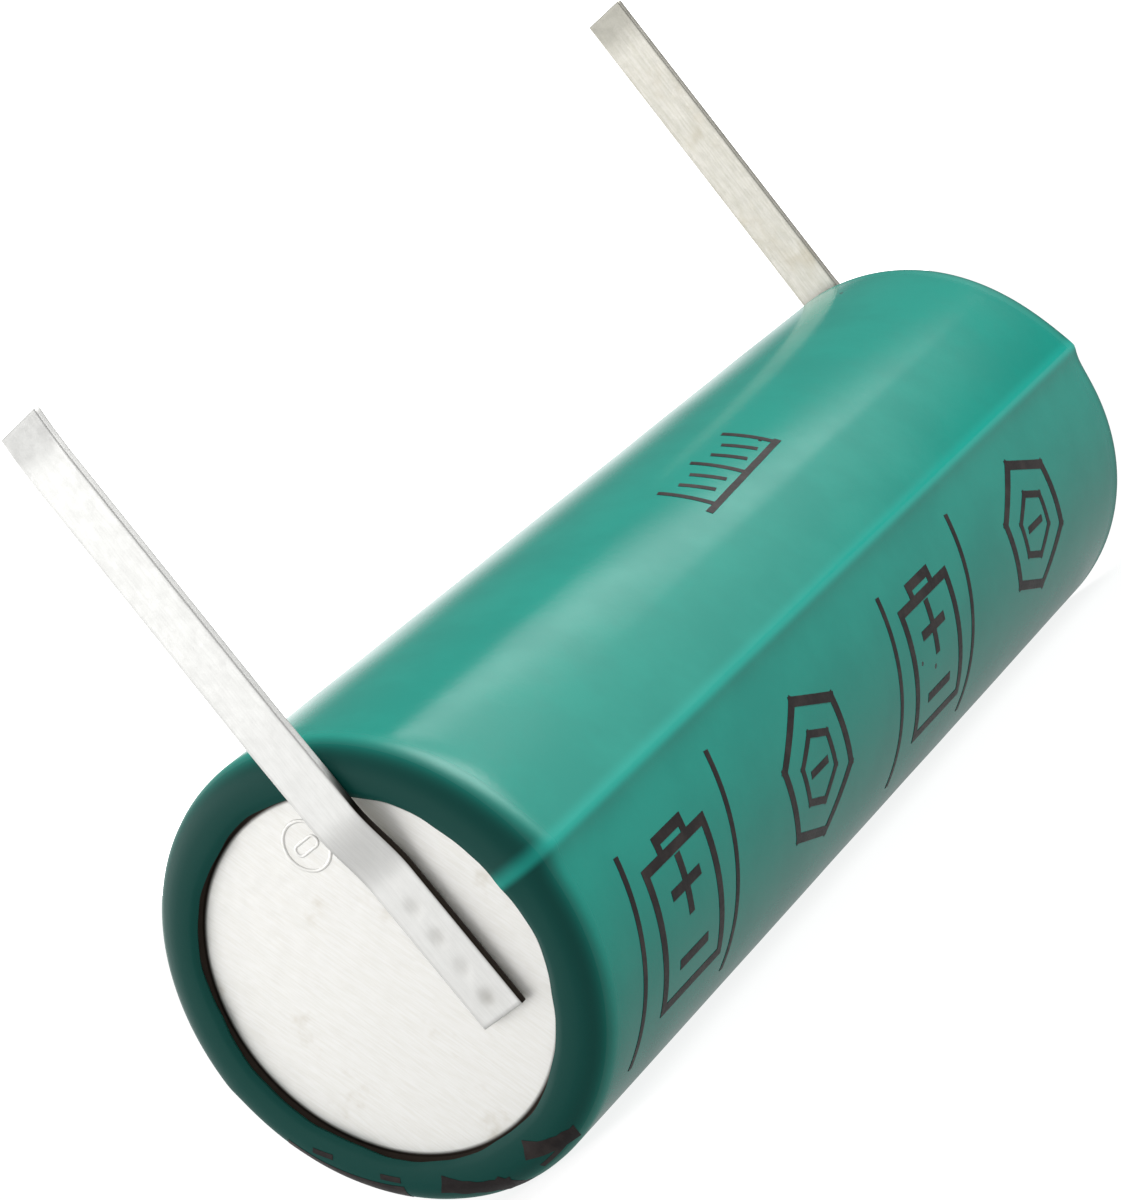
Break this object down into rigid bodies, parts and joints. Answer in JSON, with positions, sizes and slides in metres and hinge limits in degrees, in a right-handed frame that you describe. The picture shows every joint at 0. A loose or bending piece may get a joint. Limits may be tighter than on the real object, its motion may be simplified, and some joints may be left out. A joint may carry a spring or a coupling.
{
  "type": "cylindrical battery cell",
  "caption": "Rechargeable cylindrical cell in a green shrink sleeve, with a bendable nickel solder tag welded to each end and a sprung safety vent under its positive cap.",
  "frame": {"origin": "on the cell's axis, half way along the sleeve", "axes": "+Y along the cell's axis from the negative end to the positive end, +Z the way that both solder tags point, +X the side to which the negative tag is offset"},
  "size_m": [0.017, 0.052, 0.0323],
  "materials": {
    "sleeve_film": "glossy green shrink film",
    "nickel_plate": "nickel-plated steel",
    "tag_nickel": "rolled nickel strip",
    "spring_steel": "drawn wire",
    "nylon": "moulded, unfilled",
    "bitumen": "dull black",
    "valve_rubber": "moulded",
    "fibre": "pressed fibre board",
    "polypropylene": "punched sheet",
    "positive_mass": "filled nickel foam",
    "negative_mass": "coated perforated steel",
    "fleece": "non-woven"
  },
  "bodies": {
    "cell": {"shrink_sleeve": "sleeve_film", "can": "nickel_plate", "insulating_washer": "fibre", "sealing_plate": "nickel_plate", "sealing_gasket": "nylon", "terminal_cap": "nickel_plate", "sealant_ring": "bitumen", "vent_spring": "spring_steel", "negative_collector": "tag_nickel", "positive_collector": "tag_nickel", "top_insulator": "polypropylene", "positive_lead": "tag_nickel", "separator_inner": "fleece", "positive_electrode": "positive_mass", "separator_outer": "fleece", "negative_electrode": "negative_mass", "negative_tag": "tag_nickel", "positive_tag": "tag_nickel"},
    "vent_valve": {"valve_rubber": "valve_rubber", "valve_plate": "nickel_plate"},
    "negative_arm": {"negative_tag_arm": "tag_nickel"},
    "positive_arm": {"positive_tag_arm": "tag_nickel"}
  },
  "joints": [
    {"name": "vent_lift", "type": "slide", "parent": "cell", "child": "vent_valve", "axis": [0, 1, 0], "range_m": [0, 0.0005], "stiffness_N_per_m": 2000, "deforming": ["vent_spring"]},
    {"name": "negative_tag_bend", "type": "hinge", "parent": "cell", "child": "negative_arm", "pos_m": [0.0034, -0.0252, 0.00875], "axis": [1, 0, 0], "range_deg": [-89, 91]},
    {"name": "positive_tag_bend", "type": "hinge", "parent": "cell", "child": "positive_arm", "pos_m": [0.00045, 0.0255, 0.00875], "axis": [1, 0, 0], "range_deg": [-86.5, 93.5]}
  ]
}
